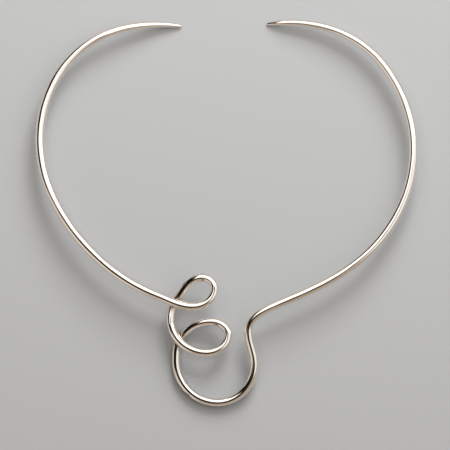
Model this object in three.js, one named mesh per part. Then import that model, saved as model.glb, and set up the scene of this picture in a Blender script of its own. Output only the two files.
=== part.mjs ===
import * as THREE from 'three';

// Silver torc: one round silver rod, thickest in the arms and drawn out to thin rounded terminals,
// bent into an open neck ring. At the front the rod makes an upper loop, a lower loop and a hanging
// bowl, and rises through a neck into the right arm. Millimetres, +Z up. The torc lies on its two
// terminals and the foot of the bowl, with the terminals towards +Y.

// Diameters of the rod
const LEFT_ARM_GAUGE = 3.45;
const RIGHT_ARM_GAUGE = 3.3;
const HIP_GAUGE = 3.15;
const LOOP_GAUGE = 3.0;
const TERMINAL_GAUGE = 0.9;

// The rod thins towards each terminal: most of it within the taper length, the rest more slowly
const TAPER_LENGTH = 12.5;
const TAPER_POWER = 0.67;

// Heights of the rod's centre line above the surface that the torc lies on
const ARM_HEIGHT = 6;
const HIP_HEIGHT = 7.6;
const SHOULDER_HEIGHT = 7.8;
const TOP_LOOP_HEIGHT = 8.3;
const PASS_GAP = 0.25; // clear space where the rod passes under itself
const PASS_DROP = LOOP_GAUGE + PASS_GAP;
const LOW_LOOP_HEIGHT = 5.6;
const FOOT_HEIGHT = LOOP_GAUGE / 2;
const TIP_HEIGHT = TERMINAL_GAUGE / 2;

// Fineness of the faceted rod
const SIDES = 16;
const LONGEST_STEP = 4;
const WIDEST_TURN = 8; // degrees
const DOME_RINGS = 3;

// A bend is a place on the centre line: plan position, height, the way the rod faces there in
// degrees anticlockwise from +X, and its gauge. The facing counts on through every full turn.
function bend(x, y, height, facing, gauge) {
  return { x, y, height, facing: THREE.MathUtils.degToRad(facing), gauge };
}

const leftArm = [
  bend(-17, 69.25, TIP_HEIGHT, 173, LEFT_ARM_GAUGE), // terminal
  bend(-46.5, 65.25, ARM_HEIGHT - 1, 206, LEFT_ARM_GAUGE), // shoulder
  bend(-69, 27, ARM_HEIGHT - 0.2, 270, LEFT_ARM_GAUGE), // side
  bend(-54.25, -9.5, ARM_HEIGHT + 0.8, 310, LEFT_ARM_GAUGE), // underarm
  bend(-25.5, -30.5, HIP_HEIGHT, 339, HIP_GAUGE), // hip
];

const upperLoop = [
  bend(-12.5, -34.5, TOP_LOOP_HEIGHT, 360, LOOP_GAUGE), // foot
  bend(-4.5, -27.75, TOP_LOOP_HEIGHT - 0.1, 450, LOOP_GAUGE), // nose
  bend(-9, -23.75, TOP_LOOP_HEIGHT - 0.9, 540, LOOP_GAUGE), // crown
  bend(-19.5, -34, TOP_LOOP_HEIGHT - PASS_DROP - 0.35, 600, LOOP_GAUGE), // heel, past the underpass
];

const lowerLoop = [
  bend(-20.75, -39, LOW_LOOP_HEIGHT - 0.6, 630, LOOP_GAUGE), // shoulder
  bend(-7.5, -51.5, LOW_LOOP_HEIGHT + 0.3, 720, LOOP_GAUGE), // foot
  bend(0.5, -44.75, LOW_LOOP_HEIGHT, 810, LOOP_GAUGE), // nose
  bend(-6, -40, LOW_LOOP_HEIGHT - 0.9, 900, LOOP_GAUGE), // crown
  bend(-17, -46, LOW_LOOP_HEIGHT - PASS_DROP - 0.15, 957, LOOP_GAUGE), // heel, coming to the underpass
];

const bowl = [
  bend(-18.75, -54.25, FOOT_HEIGHT + 0.4, 990, LOOP_GAUGE), // heel
  bend(-3.5, -70, FOOT_HEIGHT, 1080, LOOP_GAUGE), // foot
  bend(10.25, -55.75, LOW_LOOP_HEIGHT - 1.3, 1170, LOOP_GAUGE), // nose
  bend(8, -43.5, SHOULDER_HEIGHT - 1.2, 1170, LOOP_GAUGE), // neck
];

const rightArm = [
  bend(13, -36.5, SHOULDER_HEIGHT, 1110, LOOP_GAUGE), // shoulder of the neck
  bend(20.5, -33, SHOULDER_HEIGHT - 0.3, 1102, HIP_GAUGE), // hip
  bend(51.75, -15, ARM_HEIGHT + 0.8, 1123, RIGHT_ARM_GAUGE), // underarm
  bend(69, 23.75, ARM_HEIGHT - 0.1, 1170, RIGHT_ARM_GAUGE), // side
  bend(57.75, 55, ARM_HEIGHT - 0.9, 1208, RIGHT_ARM_GAUGE), // shoulder
  bend(23.75, 70.5, TIP_HEIGHT + 1.8, 1259, RIGHT_ARM_GAUGE), // crown
  bend(15.25, 70, TIP_HEIGHT, 1265, RIGHT_ARM_GAUGE), // terminal
];

const bends = [...leftArm, ...upperLoop, ...lowerLoop, ...bowl, ...rightArm];

const planDistance = (a, b) => Math.hypot(b.x - a.x, b.y - a.y);
const climb = (a, b) => (b.height - a.height) / planDistance(a, b);

// Slope of the centre line at a bend: level at a high or low point, and otherwise the harmonic
// mean of the climbs on both sides, so the rod never rises or dips past its bends.
function slopeAt(index) {
  if (index === 0) return climb(bends[0], bends[1]);
  if (index === bends.length - 1) return climb(bends[index - 1], bends[index]);
  const before = climb(bends[index - 1], bends[index]);
  const after = climb(bends[index], bends[index + 1]);
  return before * after > 0 ? (2 * before * after) / (before + after) : 0;
}

// Reach of a curve's handle as a share of the straight span, where the curve leaves at one angle
// to the span and arrives at another. Hobby's rule, which turns equal angles into round arcs.
function reach(leaving, arriving) {
  const lean = Math.SQRT2 * (Math.sin(leaving) - Math.sin(arriving) / 16)
    * (Math.sin(arriving) - Math.sin(leaving) / 16) * (Math.cos(leaving) - Math.cos(arriving));
  const spread = 1 + 0.5 * (Math.sqrt(5) - 1) * Math.cos(leaving)
    + 0.5 * (3 - Math.sqrt(5)) * Math.cos(arriving);
  return (2 + lean) / (3 * spread);
}

const wrapped = (angle) => THREE.MathUtils.euclideanModulo(angle + Math.PI, 2 * Math.PI) - Math.PI;

// The point at a signed distance along the way the rod faces at a bend
function handle(at, slope, distance) {
  return new THREE.Vector3(
    at.x + distance * Math.cos(at.facing),
    at.y + distance * Math.sin(at.facing),
    at.height + distance * slope,
  );
}

// One cubic curve from a bend to the next
function span(index) {
  const from = bends[index];
  const to = bends[index + 1];
  const across = planDistance(from, to);
  const heading = Math.atan2(to.y - from.y, to.x - from.x);
  const leaving = wrapped(from.facing - heading);
  const arriving = wrapped(heading - to.facing);
  const slopes = [slopeAt(index), slopeAt(index + 1)];
  return new THREE.CubicBezierCurve3(
    handle(from, slopes[0], 0),
    handle(from, slopes[0], across * reach(leaving, arriving)),
    handle(to, slopes[1], -across * reach(arriving, leaving)),
    handle(to, slopes[1], 0),
  );
}

// Cross sections of the rod at rest: centre, the way along the rod, and untapered gauge
function crossSections() {
  const sections = [];
  let walked = 0;
  for (let index = 0; index < bends.length - 1; index++) {
    const curve = span(index);
    const length = curve.getLength();
    const turn = THREE.MathUtils.radToDeg(Math.abs(bends[index + 1].facing - bends[index].facing));
    const steps = Math.ceil(Math.max(length / LONGEST_STEP, turn / WIDEST_TURN));
    const last = index === bends.length - 2 ? steps : steps - 1;
    for (let step = 0; step <= last; step++) {
      const share = step / steps;
      sections.push({
        centre: curve.getPointAt(share),
        along: curve.getTangentAt(share),
        gauge: THREE.MathUtils.lerp(bends[index].gauge, bends[index + 1].gauge, share),
        distance: walked + share * length,
      });
    }
    walked += length;
  }
  return sections.map((section) => ({
    ...section,
    radius: taperedRadius(section.gauge, Math.min(section.distance, walked - section.distance)),
  }));
}

// The rod's radius at a distance from the nearer terminal
function taperedRadius(gauge, fromTerminal) {
  const thinned = Math.exp(-((fromTerminal / TAPER_LENGTH) ** TAPER_POWER));
  return (gauge - (gauge - TERMINAL_GAUGE) * thinned) / 2;
}

// Shrinking sections that round off a terminal, listed from the rod outwards
function domeSections(end, outward) {
  const rings = [];
  for (let ring = 1; ring < DOME_RINGS; ring++) {
    const angle = (ring / DOME_RINGS) * (Math.PI / 2);
    rings.push({
      centre: end.centre.clone().addScaledVector(end.along, outward * end.radius * Math.sin(angle)),
      along: end.along,
      radius: end.radius * Math.cos(angle),
    });
  }
  return rings;
}

// A closed skin over the sections: a ring of points round each, bands of faces between them and a
// fan of faces to a pole at each terminal.
function rodGeometry() {
  const rod = crossSections();
  const [first, end] = [rod[0], rod[rod.length - 1]];
  const sections = [...domeSections(first, -1).reverse(), ...rod, ...domeSections(end, 1)];
  const up = new THREE.Vector3(0, 0, 1);
  const points = [];
  for (const { centre, along, radius } of sections) {
    const side = new THREE.Vector3().crossVectors(along, up).normalize();
    const lift = new THREE.Vector3().crossVectors(side, along);
    for (let corner = 0; corner < SIDES; corner++) {
      const angle = (2 * Math.PI * corner) / SIDES;
      points.push(centre.clone()
        .addScaledVector(side, radius * Math.cos(angle))
        .addScaledVector(lift, radius * Math.sin(angle)));
    }
  }
  const startPole = points.push(first.centre.clone().addScaledVector(first.along, -first.radius)) - 1;
  const endPole = points.push(end.centre.clone().addScaledVector(end.along, end.radius)) - 1;

  const faces = [];
  const lastRing = (sections.length - 1) * SIDES;
  for (let corner = 0; corner < SIDES; corner++) {
    const next = (corner + 1) % SIDES;
    faces.push(startPole, corner, next);
    faces.push(endPole, lastRing + next, lastRing + corner);
    for (let ring = 0; ring < lastRing; ring += SIDES) {
      const [a, b] = [ring + corner, ring + next];
      faces.push(a, a + SIDES, b + SIDES, a, b + SIDES, b);
    }
  }
  const geometry = new THREE.BufferGeometry().setFromPoints(points);
  geometry.setIndex(faces);
  return geometry;
}

// The origin is under the middle of the torc, on the surface that it lies on
function centredOnSurface(geometry) {
  geometry.computeBoundingBox();
  const { min, max } = geometry.boundingBox;
  geometry.translate(-(min.x + max.x) / 2, -(min.y + max.y) / 2, -min.z);
  geometry.computeVertexNormals();
  return geometry;
}

const polishedSilver = new THREE.MeshStandardMaterial({
  color: 0xe4ded4,
  metalness: 1,
  roughness: 0.08,
});

const torc = new THREE.Mesh(centredOnSurface(rodGeometry()), polishedSilver);
torc.name = 'torc';

const model = new THREE.Group();
model.add(torc);

export default model;
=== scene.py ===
"""Looks of a silver torc: a polished rod bent into an open neck ring with two small loops and a bowl.

The script is laid out as an add-on. Run as a script, it builds the rod around the loaded frame,
then a plain studio stage.
"""

import math

import bpy
import numpy as np
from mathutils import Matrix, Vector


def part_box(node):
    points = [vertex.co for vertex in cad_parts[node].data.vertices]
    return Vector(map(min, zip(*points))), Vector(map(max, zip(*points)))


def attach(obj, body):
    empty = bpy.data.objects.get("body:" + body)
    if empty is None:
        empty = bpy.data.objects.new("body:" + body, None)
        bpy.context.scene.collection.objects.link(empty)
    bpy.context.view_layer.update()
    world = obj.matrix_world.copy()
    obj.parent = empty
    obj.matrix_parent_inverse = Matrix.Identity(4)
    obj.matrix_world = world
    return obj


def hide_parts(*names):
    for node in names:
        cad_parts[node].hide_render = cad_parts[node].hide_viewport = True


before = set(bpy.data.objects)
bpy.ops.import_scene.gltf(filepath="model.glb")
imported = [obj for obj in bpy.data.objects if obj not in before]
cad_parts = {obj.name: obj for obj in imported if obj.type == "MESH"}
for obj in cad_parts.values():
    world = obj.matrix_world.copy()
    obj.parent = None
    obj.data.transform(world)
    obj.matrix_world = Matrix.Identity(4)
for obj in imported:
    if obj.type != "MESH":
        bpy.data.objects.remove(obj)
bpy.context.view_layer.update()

bl_info = {
    "name": "Silver torc",
    "version": (1, 0, 0),
    "blender": (4, 5, 0),
    "location": "3D View > Sidebar > Torc",
    "description": "Bends a polished silver rod into a torc and sets a plain studio round it",
    "category": "Add Mesh",
}

MM = 0.001
NODE = "torc"
BODY = "root"


# ---------------------------------------------------------------------------------------------
# Sizes and colours that a user would change
# ---------------------------------------------------------------------------------------------

def linear(hex_colour, alpha=True):
    """Turn an sRGB hex value into linear red, green, blue and, where asked, alpha."""
    srgb = np.array([int(hex_colour[i:i + 2], 16) for i in (0, 2, 4)]) / 255
    value = np.where(srgb <= 0.04045, srgb / 12.92, ((srgb + 0.055) / 1.055) ** 2.4)
    return tuple(value) + ((1.0,) if alpha else ())


def length(name, description, millimetres):
    """A length property with its default in millimetres."""
    return bpy.props.FloatProperty(
        name=name, description=description, default=millimetres * MM, min=0.0,
        precision=5, unit="LENGTH", subtype="DISTANCE",
    )


def colour(name, description, hex_colour):
    """A colour property with its default as an sRGB hex value."""
    return bpy.props.FloatVectorProperty(
        name=name, description=description, default=linear(hex_colour, alpha=False),
        size=3, min=0.0, max=1.0, subtype="COLOR",
    )


def share(name, description, default, most=1.0):
    """A plain number from nothing to a limit."""
    return bpy.props.FloatProperty(
        name=name, description=description, default=default, min=0.0, max=most,
        subtype="FACTOR" if most == 1.0 else "NONE",
    )


class TorcRod(bpy.types.PropertyGroup):
    """Thickness and heights of the rod."""

    left_arm_gauge: length("Left arm gauge", "Diameter of the left arm", 3.45)
    right_arm_gauge: length("Right arm gauge", "Diameter of the right arm", 3.3)
    hip_gauge: length("Hip gauge", "Diameter where an arm meets the loops", 3.15)
    loop_gauge: length("Loop gauge", "Diameter of the loops and the bowl", 3.0)
    terminal_gauge: length("Terminal gauge", "Diameter at the tip of a terminal", 0.9)
    taper_length: length("Taper length", "Reach of the quick part of the taper", 12.5)
    taper_power: share("Taper power", "How slowly the taper fades out", 0.67)
    arm_height: length("Arm height", "Centre line of the arms above the surface", 6.0)
    hip_height: length("Hip height", "Centre line of the left hip", 7.6)
    shoulder_height: length("Shoulder height", "Centre line at the neck's shoulder", 7.8)
    top_loop_height: length("Upper loop height", "Centre line of the upper loop", 8.3)
    low_loop_height: length("Lower loop height", "Centre line of the lower loop", 5.6)
    pass_gap: length("Pass gap", "Clear space where the rod passes under itself", 0.25)
    ring_spacing: length("Ring spacing", "Step between rings of the mesh", 0.3)
    sides: bpy.props.IntProperty(
        name="Sides", description="Points round the rod", default=56, min=16, max=64,
    )
    hammer_depth: length("Hammer depth", "Depth of the slow waves that forging leaves", 0.012)


class TorcSilver(bpy.types.PropertyGroup):
    """Finish of the silver."""

    silver: colour("Silver", "Colour of the polished metal", "F5F1EC")
    # Brown painted shade, laid where the rod's passes face each other in the crossings
    crossing_shade: colour("Tarnish", "Colour of the film in the crossings", "8A5630")
    roughness: share("Roughness", "Roughness of the polish", 0.05)
    handling: share("Handling", "Extra roughness where hands have dulled the polish", 0.05)
    line_width: length("Line width", "Width of the buffing lines as drawn", 0.35)


class TorcStudio(bpy.types.PropertyGroup):
    """Floor, lights and camera."""

    floor: colour("Floor", "Colour of the paper floor", "A6A9AC")
    walls: colour("Walls", "Colour of the walls, lit by the lamps", "AE9B88")
    ceiling: colour("Ceiling", "Colour of the dark ceiling", "14110F")
    card: colour("Card", "Colour of the reflecting card", "E8D8C8")
    window: colour("Window", "Colour of the tall bright window", "FFFCF7")
    key: share("Key light", "Radiance of the key light", 17.0, 200.0)
    scrim: share("Scrim", "Radiance of the overhead scrim", 1.25, 50.0)
    frame_width: length("Frame width", "Width of the picture at the torc's height", 166.2)
    lens: bpy.props.FloatProperty(
        name="Lens", description="Focal length in millimetres", default=600.0, min=20.0,
    )


# ---------------------------------------------------------------------------------------------
# The line that the rod is bent along
# ---------------------------------------------------------------------------------------------

def rod_bends(rod):
    """Places on the centre line, left terminal to right: x, y, height, facing and gauge.

    Plan positions are in millimetres and facings in degrees from +X, counted on through every
    full turn. The result is in metres and radians.
    """
    arm, hip, shoulder, top, low = (
        h / MM for h in (rod.arm_height, rod.hip_height, rod.shoulder_height,
                         rod.top_loop_height, rod.low_loop_height)
    )
    left, right, waist, loop = (
        g / MM for g in (rod.left_arm_gauge, rod.right_arm_gauge, rod.hip_gauge, rod.loop_gauge)
    )
    drop = loop + rod.pass_gap / MM
    foot = loop / 2
    tip = rod.terminal_gauge / MM / 2
    bends = np.array([
        # left arm: terminal, shoulder, side, underarm, hip
        (-17, 69.25, tip, 173, left),
        (-46.5, 65.25, arm - 1, 206, left),
        (-69, 27, arm - 0.2, 270, left),
        (-54.25, -9.5, arm + 0.8, 310, left),
        (-25.5, -30.5, hip, 339, waist),
        # upper loop: foot, nose, crown, heel
        (-12.5, -34.5, top, 360, loop),
        (-4.5, -27.75, top - 0.1, 450, loop),
        (-9, -23.75, top - 0.9, 540, loop),
        (-19.5, -34, top - drop - 0.35, 600, loop),
        # lower loop: shoulder, foot, nose, crown, heel
        (-20.75, -39, low - 0.6, 630, loop),
        (-7.5, -51.5, low + 0.3, 720, loop),
        (0.5, -44.75, low, 810, loop),
        (-6, -40, low - 0.9, 900, loop),
        (-17, -46, low - drop - 0.15, 957, loop),
        # bowl: heel, foot, nose, neck
        (-18.75, -54.25, foot + 0.4, 990, loop),
        (-3.5, -70, foot, 1080, loop),
        (10.25, -55.75, low - 1.3, 1170, loop),
        (8, -43.5, shoulder - 1.2, 1170, loop),
        # right arm: shoulder of the neck, hip, underarm, side, shoulder, crown, terminal
        (13, -36.5, shoulder, 1110, loop),
        (20.5, -33, shoulder - 0.3, 1102, waist),
        (51.75, -15, arm + 0.8, 1123, right),
        (69, 23.75, arm - 0.1, 1170, right),
        (57.75, 55, arm - 0.9, 1208, right),
        (23.75, 70.5, tip + 1.8, 1259, right),
        (15.25, 70, tip, 1265, right),
    ])
    return bends * (MM, MM, MM, math.radians(1), MM)


def reach(leaving, arriving):
    """Reach of a curve's handle as a share of the straight span.

    The curve leaves at one angle to the span and arrives at another. This is Hobby's rule, which
    turns equal angles into round arcs.
    """
    lean = (
        math.sqrt(2) * (np.sin(leaving) - np.sin(arriving) / 16)
        * (np.sin(arriving) - np.sin(leaving) / 16) * (np.cos(leaving) - np.cos(arriving))
    )
    spread = (
        1 + 0.5 * (math.sqrt(5) - 1) * np.cos(leaving)
        + 0.5 * (3 - math.sqrt(5)) * np.cos(arriving)
    )
    return (2 + lean) / (3 * spread)


def wrapped(angle):
    """The same angle between minus and plus half a turn."""
    return (angle + math.pi) % (2 * math.pi) - math.pi


def span_controls(bends):
    """Four control points for the cubic curve of each span between two bends.

    The slope at a bend is level at a high or low point, and otherwise the harmonic mean of the
    climbs on both sides, so the rod never rises or dips past its bends.
    """
    run = np.diff(bends[:, :2], axis=0)
    across = np.hypot(run[:, 0], run[:, 1])
    heading = np.arctan2(run[:, 1], run[:, 0])
    facing = bends[:, 3]
    climb = np.diff(bends[:, 2]) / across
    before, after = climb[:-1], climb[1:]
    level = before * after <= 0
    total = np.where(level, 1.0, before + after)
    slope = np.concatenate([climb[:1], np.where(level, 0.0, 2 * before * after / total), climb[-1:]])
    way = np.stack([np.cos(facing), np.sin(facing), slope], axis=1)
    leaving = wrapped(facing[:-1] - heading)
    arriving = wrapped(heading - facing[1:])
    out = (across * reach(leaving, arriving))[:, None]
    back = (across * reach(arriving, leaving))[:, None]
    place = bends[:, :3]
    return np.stack([
        place[:-1], place[:-1] + out * way[:-1], place[1:] - back * way[1:], place[1:],
    ], axis=1)


def along_spans(controls, where):
    """Points and directions at where = span number + share of that span."""
    span = np.minimum(where.astype(int), len(controls) - 1)
    t = (where - span)[:, None]
    a, b, c, d = np.moveaxis(controls[span], 1, 0)
    point = (1 - t) ** 3 * a + 3 * (1 - t) ** 2 * t * b + 3 * (1 - t) * t ** 2 * c + t ** 3 * d
    way = (1 - t) ** 2 * (b - a) + 2 * (1 - t) * t * (c - b) + t ** 2 * (d - c)
    return point, way / np.linalg.norm(way, axis=1, keepdims=True)


SPAN_SAMPLES = 200  # samples of each span, to measure the line by


def walked(points):
    """Distance walked along a line of points."""
    steps = np.linalg.norm(np.diff(points, axis=0), axis=1)
    return np.concatenate([[0.0], np.cumsum(steps)])


def rod_line(rod):
    """Even rings along the rod: centre, direction, radius and distance from the left terminal.

    The radius thins towards each terminal as r = (g - (g - g0) exp(-(d / length) ** power)) / 2,
    with g the gauge there, g0 the terminal's and d the distance from the nearer terminal.
    """
    bends = rod_bends(rod)
    controls = span_controls(bends)
    fine = np.linspace(0, len(controls), SPAN_SAMPLES * len(controls) + 1)
    fine_distance = walked(along_spans(controls, fine)[0])
    total = fine_distance[-1]
    distance = np.linspace(0, total, round(total / rod.ring_spacing) + 1)
    where = np.interp(distance, fine_distance, fine)
    centre, way = along_spans(controls, where)
    at_bends = fine_distance[::SPAN_SAMPLES]
    gauge = np.interp(distance, at_bends, bends[:, 4])
    nearer = np.minimum(distance, total - distance)
    thinned = np.exp(-((nearer / rod.taper_length) ** rod.taper_power))
    radius = (gauge - (gauge - rod.terminal_gauge) * thinned) / 2
    return centre, way, radius, distance


DOME_RINGS = 12  # rings that round off a terminal


def with_domes(centre, way, radius, distance):
    """The same rings with a half ball of shrinking rings added at each terminal."""
    angle = np.linspace(0, math.pi / 2, DOME_RINGS + 1)[1:-1, None]

    def dome(end, outward):
        offset = outward * radius[end] * np.sin(angle)
        return (
            centre[end] + offset * way[end],
            np.repeat(way[end][None], len(angle), axis=0),
            radius[end] * np.cos(angle[:, 0]),
            distance[end] + offset[:, 0],
        )

    start = [part[::-1] for part in dome(0, -1)]
    body = [centre, way, radius, distance]
    return [np.concatenate(parts) for parts in zip(start, body, dome(-1, 1))]


# ---------------------------------------------------------------------------------------------
# The rod's skin
# ---------------------------------------------------------------------------------------------

def hammer_waves(distance, angle, radius, depth):
    """Slow waves left by forging, as a change of radius.

    Each wave is depth * share * sin(2 pi distance / pitch + turns * angle + phase), a spiral of
    lobes that fades out with the taper.
    """
    # pitch, turns, phase and share of the depth
    waves = ((23 * MM, 2, 0.3, 1.0), (14 * MM, 3, 1.9, 0.6), (8.5 * MM, 1, 4.1, 0.35))
    s, a = distance[:, None], angle[None]
    total = sum(
        part * np.sin(2 * math.pi * s / pitch + turns * a + phase)
        for pitch, turns, phase, part in waves
    )
    return depth * total * (radius / radius.max())[:, None] ** 2


# Marks of the bending tools: distance from the left terminal, degrees round from the rod's right
# side over its top, depth or height, and half widths along and across, in millimetres
MARKS = (
    (184.8, 124, -0.12, 0.32, 0.28),  # pit, crown of the upper loop
    (244.5, 121, -0.10, 0.60, 0.30),  # pit, crown of the lower loop
    (282.7, 33, -0.10, 0.75, 0.28),  # slot, heel side of the bowl
    (192.4, 40, -0.08, 0.50, 0.25),  # nick, before the first underpass
    (166.2, 0, 0.12, 0.45, 0.35),  # nub, foot of the upper loop
    (239.0, 40, 0.12, 0.50, 0.35),  # nub, nose of the lower loop
    (328.4, 178, 0.22, 0.55, 0.40),  # nub, neck
    (330.4, 172, 0.10, 0.35, 0.30),  # lesser nub beside it
)


def tool_marks(distance, angle, radius):
    """The marks as a change of radius, and how far each point is down a pit, from 0 to 1.

    Each mark is height * exp(-(x / a) ** 2 / 2 - (y / b) ** 2 / 2), with x and y the distances
    along and round the skin from its middle and a and b its half widths.
    """
    change = np.zeros((len(distance), len(angle)))
    pitted = np.zeros_like(change)
    for place, turn, height, half_along, half_across in MARKS:
        along = (distance / MM - place)[:, None] / half_along
        across = wrapped(angle - math.radians(turn)) * radius[:, None] / MM / half_across
        mark = np.exp(-(along ** 2 + across ** 2) / 2)
        change += height * MM * mark
        if height < 0:
            pitted = np.maximum(pitted, mark)
    return change, pitted


def around(sides):
    """Angles of the points round the rod, from straight below, with the rod's right side at 0."""
    return np.linspace(0, 2 * math.pi, sides, endpoint=False) - math.pi / 2


def skin_points(line, rod):
    """Points of the skin, rings by sides.

    Point = centre + r (cos a side + sin a lift), with side level and square to the rod, lift
    square to both, and a running once round. Also the outward normals and how pitted it is.
    """
    centre, way, radius, distance = line
    side = np.cross(way, (0.0, 0.0, 1.0))
    side /= np.linalg.norm(side, axis=1, keepdims=True)
    lift = np.cross(side, way)
    angle = around(rod.sides)
    change, pitted = tool_marks(distance, angle, radius)
    r = radius[:, None] + hammer_waves(distance, angle, radius, rod.hammer_depth) + change
    normal = (
        np.cos(angle)[None, :, None] * side[:, None] + np.sin(angle)[None, :, None] * lift[:, None]
    )
    return centre[:, None] + r[:, :, None] * normal, normal, pitted


SAME_PASS = 12 * MM  # rings nearer than this along the rod belong to one pass of it
CROSSING_RANGE = 3 * MM  # passes further apart than this don't count as a crossing


def closeness(line, normal):
    """How much each point of the skin looks into a crossing, from 0 to 1.

    It is the facing of the skin towards the nearest other pass of the rod, times how close that
    pass is: 1 where they almost touch, 0 from the crossing range on.
    """
    centre, _, radius, distance = line
    other = np.linalg.norm(centre[:, None] - centre[None], axis=2) - radius[:, None] - radius[None]
    other[np.abs(distance[:, None] - distance[None]) < SAME_PASS] = np.inf
    nearest = other.argmin(axis=1)
    gap = other[np.arange(len(centre)), nearest]
    towards = centre[nearest] - centre
    towards /= np.maximum(np.linalg.norm(towards, axis=1, keepdims=True), 1e-9)
    facing = np.clip(np.einsum("rsk,rk->rs", normal, towards), 0, 1)
    near = np.clip(1 - gap / CROSSING_RANGE, 0, 1)
    return facing * (near * near * (3 - 2 * near))[:, None]


def skin_faces(rings, sides):
    """Corner numbers of the quads between rings and of the two fans at the poles."""
    ring, side = np.meshgrid(np.arange(rings - 1), np.arange(sides), indexing="ij")
    after = (side + 1) % sides
    quads = np.stack([
        ring * sides + side, (ring + 1) * sides + side,
        (ring + 1) * sides + after, ring * sides + after,
    ], axis=-1).reshape(-1, 4)
    k = np.arange(sides)
    start, end, last = rings * sides, rings * sides + 1, (rings - 1) * sides
    start_fan = np.stack([np.full(sides, start), k, (k + 1) % sides], axis=1)
    end_fan = np.stack([np.full(sides, end), last + (k + 1) % sides, last + k], axis=1)
    return quads, np.concatenate([start_fan, end_fan])


def skin_map(distance, girth, rings, sides):
    """Each corner's place on the rolled-out skin: millimetres along and millimetres round."""
    ring, side = np.meshgrid(np.arange(rings - 1), np.arange(sides), indexing="ij")
    corner_ring = np.stack([ring, ring + 1, ring + 1, ring], axis=-1).reshape(-1)
    corner_side = np.stack([side, side, side + 1, side + 1], axis=-1).reshape(-1)
    quads = np.stack([distance[corner_ring], corner_side * girth / sides], axis=1)
    k = np.arange(sides)
    start = np.stack([k + 0.5, k, k + 1], axis=1).reshape(-1) * girth / sides
    end = np.stack([k + 0.5, k + 1, k], axis=1).reshape(-1) * girth / sides
    fans = np.concatenate([
        np.stack([np.full(3 * sides, distance[0]), start], axis=1),
        np.stack([np.full(3 * sides, distance[-1]), end], axis=1),
    ])
    return np.concatenate([quads, fans]) / MM


def rod_object(rod):
    """The whole rod as one closed smooth mesh, standing in the CAD node's box."""
    line = with_domes(*rod_line(rod))
    centre, way, radius, distance = line
    points, normal, pitted = skin_points(line, rod)
    rings, sides = points.shape[:2]
    poles = np.stack([centre[0] - radius[0] * way[0], centre[-1] + radius[-1] * way[-1]])
    vertices = np.concatenate([points.reshape(-1, 3), poles])
    low, high = (np.array(corner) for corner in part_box(NODE))
    middle = (vertices.min(axis=0) + vertices.max(axis=0)) / 2
    shift = np.append(((low + high) / 2 - middle)[:2], low[2] - vertices[:, 2].min())
    quads, fans = skin_faces(rings, sides)

    mesh = bpy.data.meshes.new("polished_rod")
    mesh.from_pydata(vertices + shift, [], [*quads.tolist(), *fans.tolist()])
    mesh.shade_smooth()
    girth = math.pi * rod.left_arm_gauge
    rolled_out = mesh.uv_layers.new(name="rolled_out")
    rolled_out.uv.foreach_set("vector", skin_map(distance, girth, rings, sides).ravel())
    for name, shade in (("crossing", closeness(line, normal)), ("pit", pitted)):
        attribute = mesh.attributes.new(name, "FLOAT", "POINT")
        with_poles = np.append(shade.ravel(), (0.0, 0.0))
        attribute.data.foreach_set("value", with_poles.astype(np.float32))
    mesh.update()
    piece = bpy.data.objects.new("polished_rod", mesh)
    bpy.context.scene.collection.objects.link(piece)
    return piece


# ---------------------------------------------------------------------------------------------
# Materials
# ---------------------------------------------------------------------------------------------

def add(tree, kind, sockets=None, **settings):
    """Add a node with its settings, and give each socket a value or link it to an output."""
    node = tree.nodes.new(kind)
    for name, value in settings.items():
        setattr(node, name, value)
    for name, value in (sockets or {}).items():
        if isinstance(value, bpy.types.NodeSocket):
            tree.links.new(value, node.inputs[name])
        else:
            node.inputs[name].default_value = value
    return node


def new_material(name):
    """An empty node material and its tree."""
    material = bpy.data.materials.new(name)
    material.use_nodes = True
    material.node_tree.nodes.clear()
    return material, material.node_tree


PIT_SHADE = "1A120C"  # near black, painted shade in the pits


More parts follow.
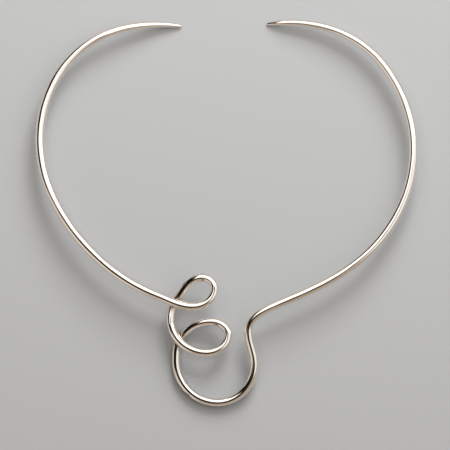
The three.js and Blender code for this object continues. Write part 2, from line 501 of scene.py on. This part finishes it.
def buffed_silver(finish):
    """Sterling silver, bent as rod, planished and buffed on a wheel with rouge.

    The eye sees a near mirror: hard edged white and dark bands that follow the rod, warmed a
    little by the copper in the alloy, faint buffing lines along the rod, patches dulled by hands,
    brown painted shade where the rod's passes face each other in the crossings, and near black
    painted shade in the pits.
    """
    material, tree = new_material("Sterling silver, buffed")
    rolled_out = add(tree, "ShaderNodeUVMap", uv_map="rolled_out").outputs["UV"]
    place = add(tree, "ShaderNodeTexCoord").outputs["Object"]

    # Buffing lines run along the rod, forty times as long as they are wide. Rouge leaves lines a
    # few hundredths of a millimetre wide, and they are drawn ten times coarser, so that they show
    line_length = 40 * finish.line_width
    lines_place = add(tree, "ShaderNodeMapping", {
        "Vector": rolled_out,
        "Scale": (MM / line_length, MM / finish.line_width, 1),
    }).outputs["Vector"]
    lines = add(tree, "ShaderNodeTexNoise", {
        "Vector": lines_place, "Scale": 1.0, "Detail": 3.0, "Roughness": 0.6,
    }, noise_dimensions="2D").outputs["Fac"]

    # Hands dull the polish in soft patches about a finger wide
    finger = 14 * MM
    patches = add(tree, "ShaderNodeTexNoise", {
        "Vector": place, "Scale": 1 / finger, "Detail": 2.0, "Roughness": 0.5,
    }).outputs["Fac"]
    dulled = add(tree, "ShaderNodeMapRange", {
        "Value": patches, "From Min": 0.45, "From Max": 0.7,
        "To Min": finish.roughness, "To Max": finish.roughness + finish.handling,
    }).outputs["Result"]

    # Painted shade: brown where the rod's passes face each other in the crossings, broken up by spots
    # half a millimetre across
    spot = 0.5 * MM
    spots = add(tree, "ShaderNodeTexNoise", {
        "Vector": place, "Scale": 1 / spot, "Detail": 2.0,
    }).outputs["Fac"]
    crossing = add(tree, "ShaderNodeAttribute", attribute_name="crossing").outputs["Fac"]
    painted_shade = add(tree, "ShaderNodeMath", {0: crossing, 1: spots}, operation="MULTIPLY").outputs[0]
    painted_shade = add(tree, "ShaderNodeMapRange", {
        "Value": painted_shade, "From Min": 0.06, "From Max": 0.45, "To Min": 0.0, "To Max": 0.9,
    }).outputs["Result"]
    tint = add(tree, "ShaderNodeMix", {
        0: painted_shade, 6: (*finish.silver, 1.0), 7: (*finish.crossing_shade, 1.0),
    }, data_type="RGBA").outputs[2]

    # Painted shade: the pits are painted near black, deepest at their middles
    pit_shade = linear(PIT_SHADE)
    pit = add(tree, "ShaderNodeAttribute", attribute_name="pit").outputs["Fac"]
    tint = add(tree, "ShaderNodeMix", {
        0: pit, 6: tint, 7: pit_shade,
    }, data_type="RGBA").outputs[2]

    # The buffing lines blur the mirror a little, as does a raised roughness under the painted
    # crossing shade, and the lines are cut into it
    line_roughness, crossing_roughness = 0.05, 0.12
    scuffed = add(tree, "ShaderNodeMath", {
        0: lines, 1: line_roughness, 2: dulled,
    }, operation="MULTIPLY_ADD").outputs[0]
    rough = add(tree, "ShaderNodeMath", {
        0: painted_shade, 1: crossing_roughness, 2: scuffed,
    }, operation="MULTIPLY_ADD").outputs[0]
    line_depth = 0.02 * MM
    bump = add(tree, "ShaderNodeBump", {
        "Height": lines, "Strength": 0.2, "Distance": line_depth,
    }).outputs["Normal"]
    surface = add(tree, "ShaderNodeBsdfPrincipled", {
        "Base Color": tint, "Metallic": 1.0, "Roughness": rough, "Normal": bump,
    }).outputs["BSDF"]
    add(tree, "ShaderNodeOutputMaterial", {"Surface": surface})
    return material


def studio_paper(studio):
    """Pale background paper, matt and evenly coated, so the eye sees only soft shadows on it."""
    material, tree = new_material("Background paper, matt")
    surface = add(tree, "ShaderNodeBsdfPrincipled", {
        "Base Color": (*studio.floor, 1.0), "Roughness": 0.9, "Specular IOR Level": 0.2,
    }).outputs["BSDF"]
    add(tree, "ShaderNodeOutputMaterial", {"Surface": surface})
    return material


# ---------------------------------------------------------------------------------------------
# The stage
# ---------------------------------------------------------------------------------------------

FLOOR_SIDE = 6.0  # metres
LAMP_TINT = (1.0, 0.99, 0.97)  # a little warmer than white


def floor_object():
    """A square of paper, one flat quad on the plane z = 0."""
    mesh = bpy.data.meshes.new("floor")
    corners = FLOOR_SIDE / 2 * np.array([(-1, -1, 0), (1, -1, 0), (1, 1, 0), (-1, 1, 0)], float)
    mesh.from_pydata(corners, [], [(0, 1, 2, 3)])
    floor = bpy.data.objects.new("floor", mesh)
    bpy.context.scene.collection.objects.link(floor)
    return floor


def lamp(name, centre, width, depth, turn, radiance):
    """A rectangular area light of an even radiance, which shines straight down until it's turned."""
    data = bpy.data.lights.new(name, "AREA")
    data.shape = "RECTANGLE"
    data.size, data.size_y = width, depth
    data.energy = radiance * math.pi * width * depth
    data.color = LAMP_TINT
    light = bpy.data.objects.new(name, data)
    light.location = centre
    light.rotation_euler = turn
    light.visible_camera = False
    bpy.context.scene.collection.objects.link(light)
    return light


def towards(zenith, azimuth):
    """Unit vector at an angle from straight up and a bearing, both in degrees."""
    zenith, azimuth = math.radians(zenith), math.radians(azimuth)
    level = math.sin(zenith)
    return (level * math.cos(azimuth), level * math.sin(azimuth), math.cos(zenith))


def key_lamp(studio):
    """The lamp that casts the shadows, towards the right terminal and aimed at the torc.

    The silver doesn't show it, because its reflection would be a spot among the long bands.
    """
    zenith, bearing, distance, size = 61, 75, 1.6, 0.74
    turn = (math.radians(zenith), 0.0, math.radians(bearing + 90))
    place = distance * np.array(towards(zenith, bearing))
    light = lamp("key", place, size, size, turn, studio.key)
    light.visible_glossy = False


def scrim_lamp(studio):
    """A level sheet of light overhead, whose straight edges bound the white band on the rod.

    It starts a little ahead of the torc's middle, along its bearing, and reaches further to the
    right of that than to the left.
    """
    bearing, height = math.radians(100), 0.45
    near, far = 0.01, 1.3
    left, right = -0.26, 0.85
    ahead = np.array((math.cos(bearing), math.sin(bearing)))
    aside = np.array((math.sin(bearing), -math.cos(bearing)))
    middle = ahead * (near + far) / 2 + aside * (left + right) / 2
    turn = (0.0, 0.0, bearing - math.pi / 2)
    lamp("scrim", (*middle, height), right - left, far - near, turn, studio.scrim)


def room(studio):
    """The room as the silver sees it: a colour for each direction.

    It starts as the walls' colour. Each soft round patch then mixes in its own colour, fully
    inside its inner angle from the patch's middle and not at all outside its outer one.
    """
    world = bpy.data.worlds.new("room")
    world.use_nodes = True
    tree = world.node_tree
    tree.nodes.clear()
    direction = add(tree, "ShaderNodeTexCoord").outputs["Generated"]
    patches = (
        # colour, zenith angle and bearing of the middle, inner and outer angle, all in degrees
        (studio.ceiling, 11, 225, 24, 30),
        (studio.ceiling, 52, 172, 18, 24),
        (studio.ceiling, 74, 138, 15, 21),
        (studio.card, 92, 186, 18, 26),
        (studio.card, 72, 222, 14, 28),
        (studio.window, 43, 4, 28, 36),
    )
    tone = (*studio.walls, 1.0)
    for patch_colour, zenith, azimuth, inner, outer in patches:
        inward = add(tree, "ShaderNodeVectorMath", {
            0: direction, 1: towards(zenith, azimuth),
        }, operation="DOT_PRODUCT").outputs["Value"]
        inside = add(tree, "ShaderNodeMapRange", {
            "Value": inward, "From Min": math.cos(math.radians(outer)),
            "From Max": math.cos(math.radians(inner)),
        }, interpolation_type="SMOOTHSTEP").outputs["Result"]
        tone = add(tree, "ShaderNodeMix", {
            0: inside, 6: tone, 7: (*patch_colour, 1.0),
        }, data_type="RGBA").outputs[2]
    background = add(tree, "ShaderNodeBackground", {"Color": tone, "Strength": 1.0})
    add(tree, "ShaderNodeOutputWorld", {"Surface": background.outputs["Background"]})
    bpy.context.scene.world = world


def overhead_camera(studio):
    """A camera straight above, the top of the picture towards the terminals.

    The torc sits a little high in the picture, so the camera looks at a point below its middle.
    """
    low, high = (np.array(corner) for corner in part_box(NODE))
    sensor = 36.0  # a full frame sensor's width in millimetres, as the lens is given
    distance = studio.lens / sensor * studio.frame_width
    data = bpy.data.cameras.new("camera")
    data.sensor_width = sensor
    data.lens = studio.lens
    data.clip_start, data.clip_end = 0.1, 20.0
    camera = bpy.data.objects.new("camera", data)
    middle = (low + high) / 2
    off_centre = np.array((-0.55 * MM, -4.4 * MM))
    camera.location = (*(middle[:2] + off_centre), middle[2] + distance)
    bpy.context.scene.collection.objects.link(camera)
    bpy.context.scene.camera = camera


# ---------------------------------------------------------------------------------------------
# Operators, panel and registration
# ---------------------------------------------------------------------------------------------

class TORC_OT_bend_rod(bpy.types.Operator):
    """Bend and polish the rod that the torc is made of"""

    bl_idname = "torc.bend_rod"
    bl_label = "Bend the rod"

    def execute(self, context):
        rod = rod_object(context.scene.torc_rod)
        rod.data.materials.append(buffed_silver(context.scene.torc_silver))
        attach(rod, BODY)
        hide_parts(NODE)
        return {"FINISHED"}


class TORC_OT_set_stage(bpy.types.Operator):
    """Lay the paper floor, hang the lights and place the camera"""

    bl_idname = "torc.set_stage"
    bl_label = "Set the stage"

    def execute(self, context):
        studio = context.scene.torc_studio
        floor = floor_object()
        floor.data.materials.append(studio_paper(studio))
        room(studio)
        key_lamp(studio)
        scrim_lamp(studio)
        overhead_camera(studio)
        context.scene.view_settings.view_transform = "Standard"
        return {"FINISHED"}


class TORC_PT_panel(bpy.types.Panel):
    """Sizes, finish and stage of the torc"""

    bl_label = "Silver torc"
    bl_idname = "TORC_PT_panel"
    bl_space_type = "VIEW_3D"
    bl_region_type = "UI"
    bl_category = "Torc"

    def draw(self, context):
        for group, operator in (
            (context.scene.torc_rod, TORC_OT_bend_rod.bl_idname),
            (context.scene.torc_silver, None),
            (context.scene.torc_studio, TORC_OT_set_stage.bl_idname),
        ):
            box = self.layout.box()
            for name in group.__annotations__:
                box.prop(group, name)
            if operator:
                box.operator(operator)


CLASSES = (
    TorcRod, TorcSilver, TorcStudio, TORC_OT_bend_rod, TORC_OT_set_stage, TORC_PT_panel,
)


def register():
    for item in CLASSES:
        bpy.utils.register_class(item)
    bpy.types.Scene.torc_rod = bpy.props.PointerProperty(type=TorcRod)
    bpy.types.Scene.torc_silver = bpy.props.PointerProperty(type=TorcSilver)
    bpy.types.Scene.torc_studio = bpy.props.PointerProperty(type=TorcStudio)


def unregister():
    del bpy.types.Scene.torc_studio
    del bpy.types.Scene.torc_silver
    del bpy.types.Scene.torc_rod
    for item in reversed(CLASSES):
        bpy.utils.unregister_class(item)


def main():
    register()
    bpy.ops.torc.bend_rod()
    bpy.ops.torc.set_stage()


if __name__ == "__main__":
    main()
